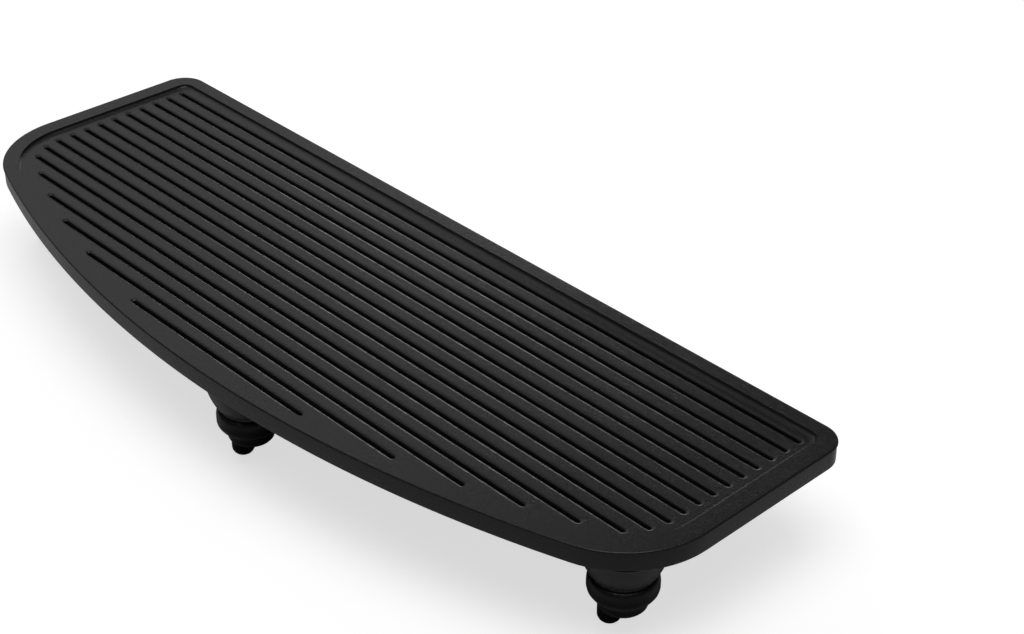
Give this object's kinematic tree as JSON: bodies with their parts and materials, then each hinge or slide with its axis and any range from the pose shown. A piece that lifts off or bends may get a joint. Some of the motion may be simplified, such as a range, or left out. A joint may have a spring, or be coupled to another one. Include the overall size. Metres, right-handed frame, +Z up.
{
  "type": "floorboard insert pad",
  "caption": "D-shaped moulded rubber pad for a motorcycle rider floorboard, with a low raised border, round-ended drainage grooves and push-in lugs underneath.",
  "frame": {"origin": "on the ground under the middle of the pad, at the level of the lug tips", "axes": "+X along the grooves, +Y towards the straight inner edge, +Z up out of the grooved face"},
  "size_m": [0.3254, 0.116, 0.0371],
  "materials": {
    "black_rubber": "satin-matte moulded"
  },
  "bodies": {
    "root": {"floorboard_pad": "black_rubber"}
  },
  "joints": []
}
